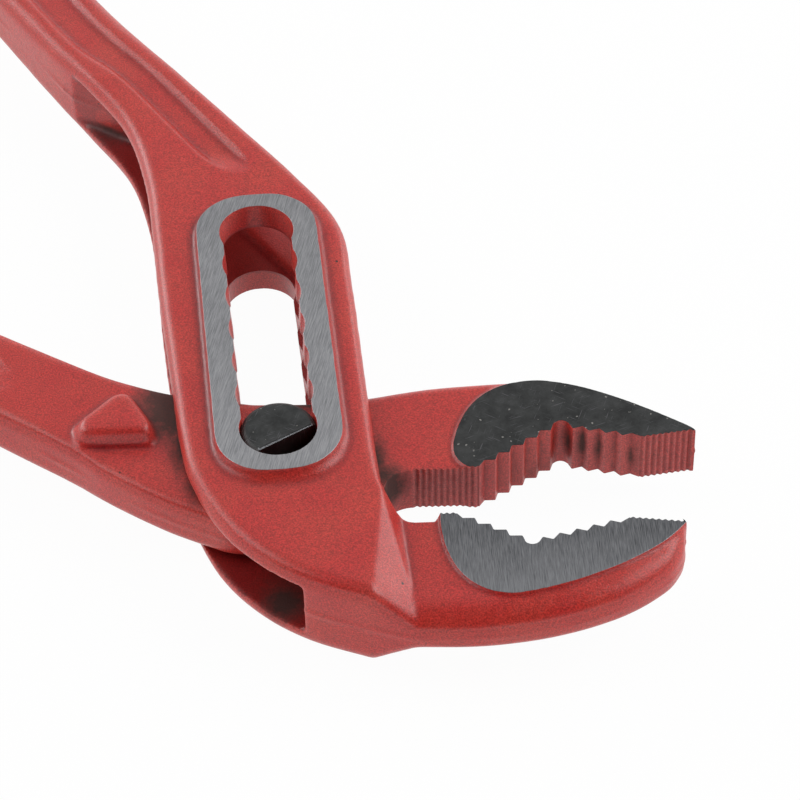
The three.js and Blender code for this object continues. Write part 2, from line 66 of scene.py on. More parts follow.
jaws = {
    "thickness": 7.9, "landStep": 0.35, "landSpare": 0.5, "landInset": 4.2, "landSteps": 24,
    "backRound": 2.3, "backSpread": 1.75, "backPower": 1.2, "crownRound": 1.6,
    "tipDepth": 2.9, "bellyLift": 0.05,
    "neckThickness": 7, "neckLength": 5.1, "neckSlant": 2,
    "coarseTooth": 1.05, "fineTooth": 0.3, "finePitch": 0.8, "toothEase": 0.14, "noseRelief": 0.3,
    "valleySteps": 6, "mouthLevels": 40,
}
handles = {
    "width": 13.4, "thickness": 9.6, "bow": 4, "edge": 2.6,
    "endTurns": (78, 60, 40, 20), "endThin": 0.8,
    "evenShares": (0.92, 0.72, 0.5), "rootShares": (0.3, 0.12),
}
channel = {
    "width": 6.4, "depth": 0.9, "wall": 1, "floor": 0.05, "fade": 7, "rows": 12,
    "least": 0.3, "open": 1.4, "over": 1, "innerLead": 10, "outerLead": 6,
    "rib": 3.2, "ribRoot": 5, "ribRun": 30,
}
forging = {
    "voxel": 0.36, "rowsPerSpan": 10, "cornerSteps": 9, "smoothing": 9, "wave": 0.035, "waveSize": 4,
    "mostHeight": 0.98, "mostWidth": 0.49,  # how much of a section its round corners may take
    "seam": 0.12, "seamWidth": 0.4, "seamPatch": 9, "seamRaised": (2, 0.6), "seamDirty": (3, -0.1),
    "bendBlur": 4, "bendScale": 3.2,
}
pin = {
    "radius": 4.9, "clearance": 0.3, "recess": 0.3, "chamfer": 0.35, "turnStep": 3,
    "flatOffset": 2, "flatFacing": -58, "flatReach": 20, "flatRim": 0.3,
}

grooveRadius = pin["radius"] + pin["clearance"]
crestHalf = grooveRadius - slot["grooveDepth"]
slotTravel = slot["pitch"] * slot["steps"]
landHalf = grooveRadius + land["sideWall"]
landReach = grooveRadius + land["endWall"]
boxHalf = box["gap"] / 2 + box["cheek"]
toolHalf = boxHalf + land["height"]
pinHalf = toolHalf - pin["recess"]
jawHalf = jaws["thickness"] / 2
jawBodyHalf = jawHalf - jaws["landStep"]
jawLandHalf = jawHalf + jaws["landSpare"]
handleHalf = handles["thickness"] / 2
boxLeft = landHalf + box["rimLeft"]
boxRight = landHalf + box["rimRight"]
through = 2 * toolHalf
lean = math.radians(slot["lean"])
plainCorner = (1.0, 1.0)  # spread and power of a quarter circle
started = time.time()


def report(stage):
    print(f"pliers: {stage} at {time.time() - started:.1f} s")


def at(x, y):
    return np.array([x, y], float)


def pointing(degrees):
    return at(math.cos(math.radians(degrees)), math.sin(math.radians(degrees)))


def along(u, v):  # u up the slot from the pivot, v across it to the right
    return at(v * math.cos(lean) - u * math.sin(lean), v * math.sin(lean) + u * math.cos(lean))


def mix(a, b, share):
    return a + (b - a) * share


def bezier(points, share):
    row = [np.asarray(p, float) for p in points]
    while len(row) > 1:
        row = [mix(a, b, share) for a, b in zip(row, row[1:])]
    return row[0]


def bezierRun(points, steps):
    return [bezier(points, i / steps) for i in range(1, steps + 1)]


def arc(centre, radius, start, stop, steps):
    return [np.asarray(centre) + radius * pointing(turn) for turn in np.linspace(start, stop, steps + 1)]


def throughPoints(points, perSpan):  # even spline through every point
    p = np.asarray(points, float)
    padded = np.concatenate([p[:1], p, p[-1:]])
    slopes = (padded[2:] - padded[:-2]) / 2
    t = np.arange(perSpan)[:, None] / perSpan
    rows = []
    for a, b, leave, arrive in zip(p, p[1:], slopes, slopes[1:]):
        cube = (2 * a - 2 * b + leave + arrive) * t ** 3
        square = (3 * b - 3 * a - 2 * leave - arrive) * t ** 2
        rows += [*(cube + square + leave * t + a)]
    return np.array(rows + [p[-1]])


def refine(stations, perSpan):  # a station is edge point a, edge point b, half thickness, corner radius
    table = np.array([[*a, *b, half, edge] for a, b, half, edge in stations])
    fine = throughPoints(table, perSpan)
    low = np.minimum(table[:-1, 4:], table[1:, 4:]).repeat(perSpan, 0)
    high = np.maximum(table[:-1, 4:], table[1:, 4:]).repeat(perSpan, 0)
    fine[:-1, 4:] = np.clip(fine[:-1, 4:], low, high)
    return [(row[:2], row[2:4], row[4], row[5]) for row in fine]


def addObject(name, data):
    made = bpy.data.objects.new(name, data)
    bpy.context.scene.collection.objects.link(made)
    return made


def skin(name, rings):  # closes a row of rings into a solid
    count = len(rings[0])
    last = (len(rings) - 1) * count
    faces = []
    for row in range(0, last, count):
        for k in range(count):
            here, beside = row + k, row + (k + 1) % count
            faces.append((here, beside, beside + count, here + count))
    faces += [tuple(range(count)), tuple(range(last, last + count))]
    mesh = bpy.data.meshes.new(name)
    mesh.from_pydata([tuple(v) for ring in rings for v in ring], [], faces)
    bm = bmesh.new()
    bm.from_mesh(mesh)
    bmesh.ops.recalc_face_normals(bm, faces=bm.faces)
    bm.to_mesh(mesh)
    bm.free()
    return addObject(name, mesh)


def bothFaces(name, rings):  # the same shape on the upper and the lower face
    lower = [[(x, y, -z) for x, y, z in ring] for ring in rings]
    return skin(name + "Top", rings), skin(name + "Bottom", lower)


def raised(value, power):
    return math.copysign(abs(value) ** power, value)


def loft(name, stations, corners):  # upright sections, each corner drawn out sideways by its spread
    steps = forging["cornerSteps"]
    rings = []
    for (a, b, half, edge), (spread, power) in zip(stations, corners):
        width = norm(b - a)
        widest = width * forging["mostWidth"]
        radius = min(edge, half * forging["mostHeight"], widest)
        reach = min(radius * spread, widest)
        ring = []
        for corner in range(4):
            across = width - reach if corner in (0, 3) else reach
            height = half - radius if corner < 2 else radius - half
            for turn in np.radians(np.linspace(corner * 90, corner * 90 + 90, steps + 1)):
                place = mix(a, b, (across + reach * raised(math.cos(turn), power)) / width)
                ring.append((*place, height + radius * raised(math.sin(turn), power)))
        rings.append(ring)
    return skin(name, rings)


def prism(name, outline, low, high, levels=1):
    rings = [[(*p, z) for p in outline] for z in np.linspace(low, high, levels + 1)]
    return skin(name, rings)


def slab(name, outline, half, levels=1):
    return prism(name, outline, -half, half, levels)


def freshMesh(piece):  # what the modifiers leave becomes the piece's own mesh
    graph = bpy.context.evaluated_depsgraph_get()
    made = bpy.data.meshes.new_from_object(piece.evaluated_get(graph))
    old = piece.data
    made.materials.clear()  # the tools bring empty slots along
    piece.modifiers.clear()
    piece.data = made
    bpy.data.meshes.remove(old)


def work(operation, piece, *tools):
    for tool in tools:
        step = piece.modifiers.new("work", "BOOLEAN")
        step.operation, step.solver, step.object = operation, "MANIFOLD", tool
        freshMesh(piece)
        spent = tool.data
        bpy.data.objects.remove(tool)
        bpy.data.meshes.remove(spent)


join, cut = partial(work, "UNION"), partial(work, "DIFFERENCE")


def grind(piece, sign, height, limits):  # takes off everything above a level within the limits
    x0, x1, y0, y1 = limits
    low, high = sorted((sign * height, sign * through))
    outline = [at(x0, y0), at(x1, y0), at(x1, y1), at(x0, y1)]
    cut(piece, prism("grind", outline, low, high))


def easeCorners(outline, radius, steps=2):  # takes the sharpness off an outline
    straight, most = -0.97, 0.42  # keeps nearly straight corners and the middle of a short side
    rows = []
    for i, here in enumerate(outline):
        before, after = outline[i - 1], outline[(i + 1) % len(outline)]
        back, on = before - here, after - here
        backLength, onLength = norm(back), norm(on)
        if backLength < 1e-6 or onLength < 1e-6:
            continue
        if np.dot(back, on) / backLength / onLength < straight:
            rows.append(here)
            continue
        start = here + back / backLength * min(radius, most * backLength)
        stop = here + on / onLength * min(radius, most * onLength)
        rows += [bezier([start, here, stop], s / steps) for s in range(steps + 1)]
    return rows


def mark(piece, name, values):
    layer = piece.data.attributes.new(name, "FLOAT", "POINT")
    layer.data.foreach_set("value", values.astype(np.float32))


def triples(items, name):
    values = np.empty(len(items) * 3)
    items.foreach_get(name, values)
    return values.reshape(-1, 3)


def vertices(piece):
    return triples(piece.data.vertices, "co")


def noiseAt(co, size):
    return np.array([noise.noise(Vector(p)) for p in co / size])


def soften(piece, voxel, rounds):
    remesh = piece.modifiers.new("die", "REMESH")
    remesh.mode, remesh.voxel_size = "VOXEL", voxel
    blast = piece.modifiers.new("blast", "SMOOTH")
    blast.factor, blast.iterations = 0.5, rounds
    freshMesh(piece)


def forge(piece, mouth):  # the dies leave soft corners, a wavy skin and a broken seam, then the mouth is cut
    report(f"{piece.name} drawn")
    soften(piece, forging["voxel"], forging["smoothing"])
    mesh = piece.data
    co, normals = vertices(piece), triples(mesh.vertex_normals, "vector")
    co += normals * (noiseAt(co, forging["waveSize"]) * forging["wave"])[:, None]
    upright = np.clip(1 - 2 * np.abs(normals[:, 2]), 0, 1)
    seam = np.exp(-(co[:, 2] / forging["seamWidth"]) ** 2) * upright
    patch = noiseAt(co, forging["seamPatch"])
    gain, base = forging["seamRaised"]
    co += normals * (forging["seam"] * seam * np.clip(patch * gain + base, 0, 1))[:, None]
    mesh.vertices.foreach_set("co", co.ravel())
    mesh.update()
    gain, base = forging["seamDirty"]
    mark(piece, "parting", seam * np.clip(patch * gain + base, 0, 1))
    mark(piece, "bend", bendOf(mesh, co, normals))
    report(f"{piece.name} pressed")
    cut(piece, slab("mouth", mouth, through, jaws["mouthLevels"]))


def bendOf(mesh, co, normals):  # hollows come out positive and edges negative
    edges = np.empty(len(mesh.edges) * 2, int)
    mesh.edges.foreach_get("vertices", edges)
    start, stop = edges.reshape(-1, 2).T
    count = np.bincount(edges, minlength=len(co))[:, None]

    def spread(values):
        total = np.zeros_like(values)
        np.add.at(total, start, values[stop])
        np.add.at(total, stop, values[start])
        return total / count

    lift = ((spread(co) - co) * normals).sum(1) / forging["voxel"] ** 2
    for _ in range(forging["bendBlur"]):
        lift = 0.5 * lift + 0.5 * spread(lift[:, None])[:, 0]
    return np.clip(lift * forging["bendScale"], -1, 1)


def handleStations(root, angle, reach, side, rootWidth, rootHalf):  # from the handle's end to its root
    out = pointing(angle)
    left = at(-out[1], out[0])
    full = handles["width"]

    def place(distance, width, half):
        bow = side * handles["bow"] * math.sin(math.pi * distance / reach) ** 2
        centre = root + out * distance + left * bow
        return centre + left * width / 2, centre - left * width / 2, half, handles["edge"]

    rows = []
    for turn in handles["endTurns"]:
        across, back = pointing(turn)
        half = handleHalf * mix(1, handles["endThin"], turn / 90)
        rows.append(place(reach - full / 2 * (1 - back), full * across, half))
    for share in handles["evenShares"]:
        rows.append(place(reach * share, full, handleHalf))
    for share in handles["rootShares"]:
        blend = 1 - share / handles["evenShares"][-1]
        rows.append(place(reach * share, mix(full, rootWidth, blend), mix(handleHalf, rootHalf, blend)))
    return rows


def channels(stations, startDistance):  # the channel in a handle, with leaning walls and faded ends
    endDistance = norm(mix(*stations[0][:2], 0.5)) - handles["width"]
    endRadius = channel["width"] / 2
    rings = []
    for a, b, half, _ in refine(stations, channel["rows"]):
        distance = norm(mix(a, b, 0.5))
        inset = min(distance - startDistance, endDistance - distance)
        if inset <= channel["least"]:
            continue
        across = (a - b) / norm(a - b)
        roundness = math.sqrt(1 - (1 - min(1, inset / endRadius)) ** 2)
        share = min(1, (distance - startDistance) / channel["ribRun"])
        centre = b + across * (mix(channel["ribRoot"], channel["rib"], share) + endRadius)
        top = across * endRadius * roundness * channel["open"]
        floor = across * max(channel["floor"], endRadius * roundness - channel["wall"])
        run = min(1, inset / channel["fade"])
        deep = half - channel["depth"] * run * run * (3 - 2 * run)
        over = half + channel["over"]
        corners = ((-top, over), (top, over), (floor, deep), (-floor, deep))
        rings.append([(*(centre + aside), height) for aside, height in corners])
    return bothFaces("channel", rings)


def sawTeeth(start, stop, count, rootStep):
    rows = []
    for i in range(count):
        tip = mix(start, stop, i / count)
        rows += [tip, tip + rootStep]
    return rows + [stop]


def fineTeeth(start, stop):
    way = stop - start
    count = max(1, round(norm(way) / jaws["finePitch"]))
    side = at(-way[1], way[0]) / norm(way) * jaws["fineTooth"]
    rows = []
    for i in range(count):
        rows += [start + way * i / count, start + way * (i + 0.5) / count - side]
    return rows + [stop]


def inMouth(arm, flank, nose, name):  # a point by its shares of the mouth's width and depth
    across, deep = arm[name]
    return at(flank[0] + across * arm["mouthWidth"], nose[1] + deep * arm["mouthDepth"])


def leaned(outline):
    return [along(p[1], p[0]) for p in outline]


def slotOutline(tighter):  # a round groove at each stop, meeting its neighbours at a crest
    reach = min(math.acos(crestHalf / grooveRadius), math.asin(slot["pitch"] / 2 / grooveRadius))
    grip = math.degrees(reach)
    radius, last = grooveRadius - tighter, slot["steps"]
    right, left = [], []
    for i in range(last + 1):
        steps = slot["endSteps"] if i in (0, last) else slot["grooveSteps"]
        low, high = -90 if i == 0 else -grip, 90 if i == last else grip
        centre = (0, i * slot["pitch"])
        right += arc(centre, radius, low, high, steps)
        left = arc(centre, radius, 180 - high, 180 - low, steps) + left
    return leaned(easeCorners(right + left, slot["crestEase"]))


def slotCutter():  # drafted from both faces, tightest at the insides of the cheeks
    inner = box["gap"] / 2
    wall = np.linspace(inner, toolHalf, slot["draftLevels"])
    rings = []
    for z in (-through, *-wall[::-1], *wall, through):
        depth = np.clip((toolHalf - abs(z)) / (toolHalf - inner), 0, 1)
        rings.append([(*p, z) for p in slotOutline(slot["draft"] * depth)])
    return skin("slotCut", rings)


def landOutline(grow=0.0):
    half, low, high = landHalf + grow, -landReach - grow, slotTravel + landReach + grow
    radius = min(land["corner"] + grow, half)
    side, foot, head = half - radius, low + radius, high - radius
    rows = []
    for turn, x, y in ((-90, side, foot), (0, side, head), (90, -side, head), (180, -side, foot)):
        rows += arc((x, y), radius, turn, turn + 90, land["cornerSteps"])
    return leaned(rows)


def landFeet():  # the land's fillet in the die, drawn out towards the jaw
    shift = along(-land["footShift"], land["footAside"])
    rings = []
    for rise, share in land["footRows"]:
        rings.append([(*(p + shift * share), boxHalf + rise) for p in landOutline(land["foot"] * share)])
    return bothFaces("landFoot", rings)


def windowOutline():
    handleLeft = along(slotTravel + box["windowLeft"][0], -boxLeft - box["windowLeft"][1])
    handleRight = along(slotTravel + box["windowRight"][0], boxRight + box["windowRight"][1])
    throat = along(-box["windowThroat"][0], boxRight + box["windowThroat"][1])
    heel = along(-box["windowHeel"][0], -box["windowHeel"][1])
    farLeft, farRight = handleLeft[0] - boxLeft, boxRight + box["windowBeyond"]
    farLow = -box["heelDrop"] - boxLeft
    return [
        handleLeft, at(farLeft, handleLeft[1]), at(farLeft, farLow), at(heel[0], farLow), heel, throat,
        at(farRight, throat[1]), at(farRight, handleRight[1]), handleRight,
    ]


def reliefOutline():  # the cutter's last pass inside the box ran along the handle and left a low step
    way = pointing(box["reliefTurn"])
    aside = at(-way[1], way[0])
    upRun, downRun = box["reliefRun"]
    high, low = at(*box["reliefAt"]) + way * upRun, at(*box["reliefAt"]) - way * downRun
    return [high, high + aside * downRun, low + aside * downRun, low]


# Outer arm: handle, box with its window, heel and lower jaw in one forging
outerArm = {
    "angle": 127, "reach": 132, "rootWidth": 12.2,
    "jawReach": 52.5, "tipDrop": 14.9, "backDrop": 30.6, "noseLength": 7.4, "noseRise": 1,
    "mouthWidth": 21.7, "mouthDepth": -3.2, "flankRise": 1.5, "rearLength": 2.4,
    # shares of the mouth and of the throat, and tooth roots in tooth heights
    "dipAt": (0.37, 0.9), "riseAt": (0.49, 1), "throatAt": (0.25, 0.56, 0.9),
    "flankTeeth": 4, "riseTeeth": 5, "flankRoot": (1 / 3, -1), "riseRoot": (1.3, -0.42),
    "boxShares": (0.75, 0.32, 0.04), "heelShares": (0, 0.25, 0.5, 0.75, 1),
    "jawShares": (0, 0.2, 0.4, 0.6, 0.8, 0.92, 1), "bellyAt": (0.44, 1.4), "chinAt": (2, 0.68),
    # left, right, low and high limit of the wheel
    "slotPass": (-40, 40, -40, 70), "jawPass": (17.5, 60, -40, 0),
}
lowerTip = at(outerArm["jawReach"], -outerArm["tipDrop"])
lowerNose = lowerTip + at(-outerArm["noseLength"], outerArm["noseRise"])
lowerFlank = lowerNose + at(-outerArm["mouthWidth"], outerArm["flankRise"])
lowerDip, lowerRise = [inMouth(outerArm, lowerFlank, lowerNose, name) for name in ("dipAt", "riseAt")]
lowerRear = lowerFlank - at(outerArm["rearLength"], 0)


def lowerMouth():
    tooth = jaws["coarseTooth"]
    beyond = lowerTip[0] + jaws["thickness"]
    throat = at(boxRight + 0.8, -box["throatDrop"])
    floor = lowerRear[1] - tooth * 1.2
    hollow = lowerRise[1] - tooth * 0.8
    near, middle, far = [at(mix(throat[0], lowerRear[0], share), floor) for share in outerArm["throatAt"]]
    rows = [at(throat[0], 0), throat, *bezierRun([throat, near, middle], jaws["valleySteps"]), far]
    rows += fineTeeth(lowerRear, lowerFlank)
    rows += sawTeeth(lowerFlank, lowerDip, outerArm["flankTeeth"], tooth * at(*outerArm["flankRoot"]))
    valley = [at(mix(lowerDip[0], lowerRise[0], 0.15), hollow),
              at(mix(lowerDip[0], lowerRise[0], 0.5), hollow - tooth * 0.7), at(lowerRise[0] - 0.5, hollow)]
    rows += [valley[0], *bezierRun(valley, jaws["valleySteps"])]
    rows += sawTeeth(lowerRise, lowerNose, outerArm["riseTeeth"], tooth * at(*outerArm["riseRoot"]))
    rows += fineTeeth(lowerNose, lowerTip)
    foot = lowerTip + at(0.03, -jaws["noseRelief"])  # clears the upper nose when the jaws are shut
    return easeCorners(rows, jaws["toothEase"]) + [foot, at(beyond, foot[1]), at(beyond, 0)]


def lowerLand():  # rises past the mouth, which is cut from it afterwards
    low = at(mix(lowerRear[0], lowerTip[0], 0.29), -outerArm["backDrop"] + jaws["landInset"])
    nearTip = lowerTip - at(1.1, 1.7)
    side = at(lowerRear[0], mix(lowerRear[1], low[1], 0.47))
    rows = [lowerRear + at(0, 3), lowerRear]
    rows += bezierRun([lowerRear, side, low - at(7, 0), low], jaws["landSteps"])
    rows += bezierRun([low, low + at(7, 0.6), nearTip - at(3.4, 3.9), nearTip], jaws["landSteps"])
    return rows + [lowerTip + at(0.5, 0), lowerTip + at(0.5, 6)]


def boxStations():
    def side(u):
        return -boxLeft - box["flare"] * u / slotTravel

    def station(left, right):
        return left, right, boxHalf, box["edge"]

    rows = []
    for leftRise, leftOut, rightRise, rightOut in box["shoulder"]:
        left = along(slotTravel + leftRise, side(slotTravel) - leftOut)
        rows.append(station(left, along(slotTravel + rightRise, boxRight + rightOut)))
    for share in outerArm["boxShares"]:
        u = slotTravel * share
        rows.append(station(along(u, side(u)), along(u, boxRight)))
    heelTop = along(-grooveRadius, side(-slotTravel / 2))
    heelEnd = at(boxRight - box["edge"] / 3, -box["heelDrop"])
    heel = [heelTop, at(heelTop[0] + box["heelEase"], heelEnd[1] + box["heelEase"]), heelEnd]
    throatTop, throatEnd = along(-grooveRadius / 2, boxRight), at(boxRight + 1, -box["throatDrop"])
    for share in outerArm["heelShares"]:
        rows.append(station(bezier(heel, share), mix(throatTop, throatEnd, share)))
    return rows


def lowerJawStations():
    neck = at(boxRight + jaws["neckLength"], -outerArm["backDrop"])
    tip = lowerTip - at(0, jaws["tipDepth"])
    bellyShare, bellyDrop = outerArm["bellyAt"]
    chinBack, chinShare = outerArm["chinAt"]
    belly = at(mix(neck[0], tip[0], bellyShare), -outerArm["backDrop"] - bellyDrop)
    chin = at(tip[0] - chinBack, mix(tip[1], neck[1], chinShare))
    rows = []
    for share in outerArm["jawShares"]:
        low = bezier([neck, belly, chin, tip], share) + at(0, jaws["bellyLift"])
        slant = jaws["neckSlant"] if share == 0 else 0
        half = jaws["neckThickness"] / 2 if share == 0 else jawBodyHalf
        rows.append((low, at(low[0] - slant, lowerFlank[1] + 3), half, jaws["backRound"]))
    return rows


def buildOuterArm():
    boxRows = boxStations()
    root = mix(*boxRows[0][:2], 0.5)
    handle = handleStations(root, outerArm["angle"], outerArm["reach"], -1, outerArm["rootWidth"], boxHalf)
    boxPart = refine(handle + boxRows, forging["rowsPerSpan"])
    jawPart = refine(lowerJawStations(), forging["rowsPerSpan"])
    corners = [plainCorner] * len(boxPart) + [(jaws["backSpread"], jaws["backPower"])] * len(jawPart)
    arm = loft("outer_arm_forging", boxPart + jawPart, corners)
    join(arm, slab("jawLand", lowerLand(), jawLandHalf))
    join(arm, slab("slotLand", landOutline(), toolHalf + land["spare"]), *landFeet())
    cut(arm, *channels(handle + boxRows, slotTravel + landReach + channel["outerLead"]))
    relief = box["gap"] / 2 + box["relief"]
    inside = slab("relief", reliefOutline(), relief)
    work("INTERSECT", inside, slab("window", windowOutline(), 2 * relief))
    cut(arm, slab("window", windowOutline(), box["gap"] / 2), inside)
    forge(arm, lowerMouth())
    cut(arm, slotCutter())
    for sign in (-1, 1):
        grind(arm, sign, toolHalf, outerArm["slotPass"])
        grind(arm, sign, jawHalf, outerArm["jawPass"])
    report("outer arm cut and ground")
    return arm


# Inner arm: handle, tongue through the box, three-cornered stops and upper jaw
innerArm = {
    "angle": 145.5, "reach": 178, "rootWidth": 14,
    "rootGap": 17.9, "rootLow": 3, "rootHigh": 19.6, "rootLean": 0.6,
    "clearance": 0.15, "edge": 1.6, "tongueRise": 9.2, "tongueDrop": 13, "boreSteps": 60,
    "jawReach": 54.9, "tipRise": 1.2, "crown": 12.1, "noseLength": 7.3, "noseDrop": 1.1,
    "mouthWidth": 21, "mouthDepth": 2, "flankDrop": 4.6, "rearLength": 9,
    "dipAt": (0.45, 0.9), "fallAt": (0.59, 1), "throat": (3.6, 1.6), "throatSteps": 8, "heelSteps": 16,
    "flankTeeth": 5, "fallTeeth": 4, "flankRoot": (-1.43, 0), "fallRoot": (-0.76, 0.85),
    "nubRoot": 2.2, "nubCrown": 2.4, "nubLength": 11.3, "nubWidth": 9.7, "nubGap": 3.8, "nubLow": 0.6,
    "nubVoxel": 0.3, "nubSoftness": 34, "jawPass": (18, 70, -20, 30),
}
tongueHalf = box["gap"] / 2 - innerArm["clearance"]
upperTip = at(innerArm["jawReach"], innerArm["tipRise"])
upperNose = upperTip - at(innerArm["noseLength"], innerArm["noseDrop"])
upperFlank = upperNose - at(innerArm["mouthWidth"], innerArm["flankDrop"])
upperDip, upperFall = [inMouth(innerArm, upperFlank, upperNose, name) for name in ("dipAt", "fallAt")]
upperRear = upperFlank - at(innerArm["rearLength"], 0)


def upperMouth():
    tooth = jaws["coarseTooth"]
    below = upperTip[1] - innerArm["tongueDrop"] - tooth
    beyond = upperTip[0] + jaws["thickness"]
    throat = upperRear - at(*innerArm["throat"])
    hollow = upperFall[1] + tooth
    rows = fineTeeth(upperTip, upperNose)
    rows += sawTeeth(upperNose, upperFall, innerArm["fallTeeth"], tooth * at(*innerArm["fallRoot"]))
    valley = [at(upperFall[0] - 0.5, hollow), at(mix(upperFall[0], upperDip[0], 0.5), hollow + tooth),
              at(upperDip[0] + 0.4, hollow)]
    rows += [valley[0], *bezierRun(valley, jaws["valleySteps"])]
    rows += sawTeeth(upperDip, upperFlank, innerArm["flankTeeth"], tooth * at(*innerArm["flankRoot"]))
    rows += fineTeeth(upperFlank, upperRear)
    rows += bezierRun([upperRear, at(throat[0] + 1.6, upperRear[1]), throat], innerArm["throatSteps"])
    ends = [at(beyond, below), at(beyond, upperTip[1])]
    return ends + easeCorners(rows, jaws["toothEase"]) + [at(throat[0] - 3, below)]


def upperLand():
    heel = upperFlank + at(-3.2, 5.8)
    crown = at(mix(upperFlank[0], upperTip[0], 0.29), innerArm["crown"] - 0.7)
    nearTip = upperTip + at(-0.6, 1)
    start = upperFlank - at(0, jaws["fineTooth"])
    rows = [upperTip + at(0.5, -5), upperFlank + at(3, -5), start]
    turnIn = at(heel[0], upperFlank[1] + 0.4)
    rows += bezierRun([start, turnIn, heel - at(0.8, 3.2), heel], innerArm["heelSteps"])
    rows += bezierRun([heel, heel + at(1.2, 5.8), crown - at(6.8, 0), crown], jaws["landSteps"])
    rows += bezierRun([crown, crown + at(7.2, -0.8), nearTip + at(-4.3, 2.8), nearTip], jaws["landSteps"])
    return rows + [upperTip + at(0.5, 0)]


def nubs():
    right = -boxLeft - innerArm["nubGap"]
    left, low = right - innerArm["nubLength"], innerArm["nubLow"]
    tall = low + innerArm["nubWidth"]
    # six corners each, from the left end round by the lower edge
    foot = [
        (left + 0.1, low + 3.6), (left + 1.3, low + 0.6), (right + 0.5, low + 0.6),
        (right + 0.2, low + 4), (right - 3.6, tall + 0.4), (right - 5.3, tall + 0.4),
    ]
    crown = [
        (left + 2, low + 3.9), (left + 2.1, low + 1.6), (right - 0.6, low + 1.5),
        (right - 0.5, low + 3), (right - 3.3, tall - 1.3), (right - 5, tall - 1.3),
    ]
    layers = ((foot, -innerArm["nubRoot"]), (foot, 0), (crown, innerArm["nubCrown"]))
    for sign in (-1, 1):
        bm = bmesh.new()
        for outline, rise in layers:
            for x, y in outline:
                bm.verts.new((x, y, sign * (tongueHalf + rise)))
        bmesh.ops.convex_hull(bm, input=bm.verts)
        mesh = bpy.data.meshes.new("nub")
        bm.to_mesh(mesh)
        bm.free()
        nub = addObject("nub", mesh)
        soften(nub, innerArm["nubVoxel"], innerArm["nubSoftness"])
        yield nub


def armStations(rootLow, rootTop):
    foot, top = at(-pin["radius"], -innerArm["tongueDrop"]), at(pin["radius"], innerArm["tongueRise"])
    lowCurve = [rootLow, foot + at(-9.6, 2.2), foot]
    topCurve = [rootTop, top - at(17.6, 1.2), top]
    edge = innerArm["edge"]
    rows = [(rootLow, rootTop, jawHalf, edge)]
    for share in (0.25, 0.5, 0.75):
        rows.append((bezier(lowCurve, share), bezier(topCurve, share), tongueHalf, edge))
    blankLow, tongueEnd = upperFlank[1] - 5.5, boxRight - 0.5
    crown = at(mix(upperFlank[0], upperTip[0], 0.14), innerArm["crown"])
    tipTop = upperTip + at(-0.5, 1.4)
    jawStart = mix(tongueEnd, crown[0], 0.43)
    rows += [
        (foot, at(-pin["radius"], top[1] + 0.2), tongueHalf, edge),
        (at(pin["radius"], foot[1] + 0.6), top, tongueHalf, edge),
        (at(tongueEnd, blankLow), at(tongueEnd, top[1] + 0.8), tongueHalf, edge),
        (at(jawStart, blankLow), at(jawStart, innerArm["crown"] - 0.7), jawBodyHalf, edge),
    ]
    back = [crown, crown + at(7, 0), tipTop + at(-8.4, 5.9), tipTop]
    for share in (0, 0.25, 0.5, 0.75, 1):
        high = bezier(back, share)
        rows.append((at(high[0], blankLow), high, jawBodyHalf, jaws["crownRound"]))
    return rows


def buildInnerArm():
    rootLow = at(-boxLeft - innerArm["rootGap"], innerArm["rootLow"])
    rootTop = at(rootLow[0] - innerArm["rootLean"], innerArm["rootHigh"])
    root = mix(rootTop, rootLow, 0.5)
    handle = handleStations(root, innerArm["angle"], innerArm["reach"], 1, innerArm["rootWidth"], tongueHalf)
    rows = armStations(rootLow, rootTop)
    fine = refine(handle + rows, forging["rowsPerSpan"])
    arm = loft("inner_arm_forging", fine, [plainCorner] * len(fine))
    join(arm, slab("jawLand", upperLand(), jawLandHalf))
    start = boxLeft + innerArm["nubGap"] + innerArm["nubLength"] + channel["innerLead"]
    cut(arm, *channels(handle + rows[:3], start))
    join(arm, *nubs())
    forge(arm, upperMouth())
    steps = innerArm["boreSteps"]
    bore = arc((0, 0), grooveRadius, 0, 360 - 360 / steps, steps - 1)
    cut(arm, slab("bore", bore, through))
    for sign in (-1, 1):
        grind(arm, sign, jawHalf, innerArm["jawPass"])
    report("inner arm cut and ground")
    return arm


# Pin: turned round, with a flat milled where it passes through the cheeks
def buildPin():
    radius, chamfer, offset, reach = pin["radius"], pin["chamfer"], pin["flatOffset"], pin["flatReach"]
    profile = [(radius - chamfer, -pinHalf), (radius, chamfer - pinHalf),
               (radius, pinHalf - chamfer), (radius - chamfer, pinHalf)]
    turns = np.radians(np.arange(0, 360, pin["turnStep"]))
    rings = [[(r * math.cos(t), r * math.sin(t), z) for t in turns] for r, z in profile]
    body = skin("pivot_pin_turned", rings)
    out = pointing(pin["flatFacing"])
    side = at(-out[1], out[0])
    corners = ((offset, -reach), (reach, -reach), (reach, reach), (offset, reach))
    outline = [out * x + side * y for x, y in corners]
    for sign in (-1, 1):
        low, high = sorted((sign * tongueHalf, sign * through))
        cut(body, prism("flat", outline, low, high))
    report("pin turned")
    return body


# Broken edges of the ground faces: width and drop in millimetres, and where each wheel left its faces
rims = {
    "ground": (0.05, 0.02), "oxide": (0.06, 0.03), "pin": (0.2, 0.14),
    "slotFaces": (-30, 30, -20, 60), "lowerFaces": (17.6, 60, -40, 0), "upperFaces": (18, 70, -10, 30),
    "pinFaces": (-9, 9, -9, 9), "merge": 0.004, "level": 0.002, "flatness": 0.999,
}


def facesOn(bm, height, limits):  # the flat faces that the grinding wheel left
    x0, x1, y0, y1 = limits
    found = []
    for face in bm.faces:
        if abs(face.normal.z) > rims["flatness"]:
            middle = face.calc_center_median()
            if abs(middle.z - height) < rims["level"] and x0 < middle.x < x1 and y0 < middle.y < y1:
                found.append(face)
    return found


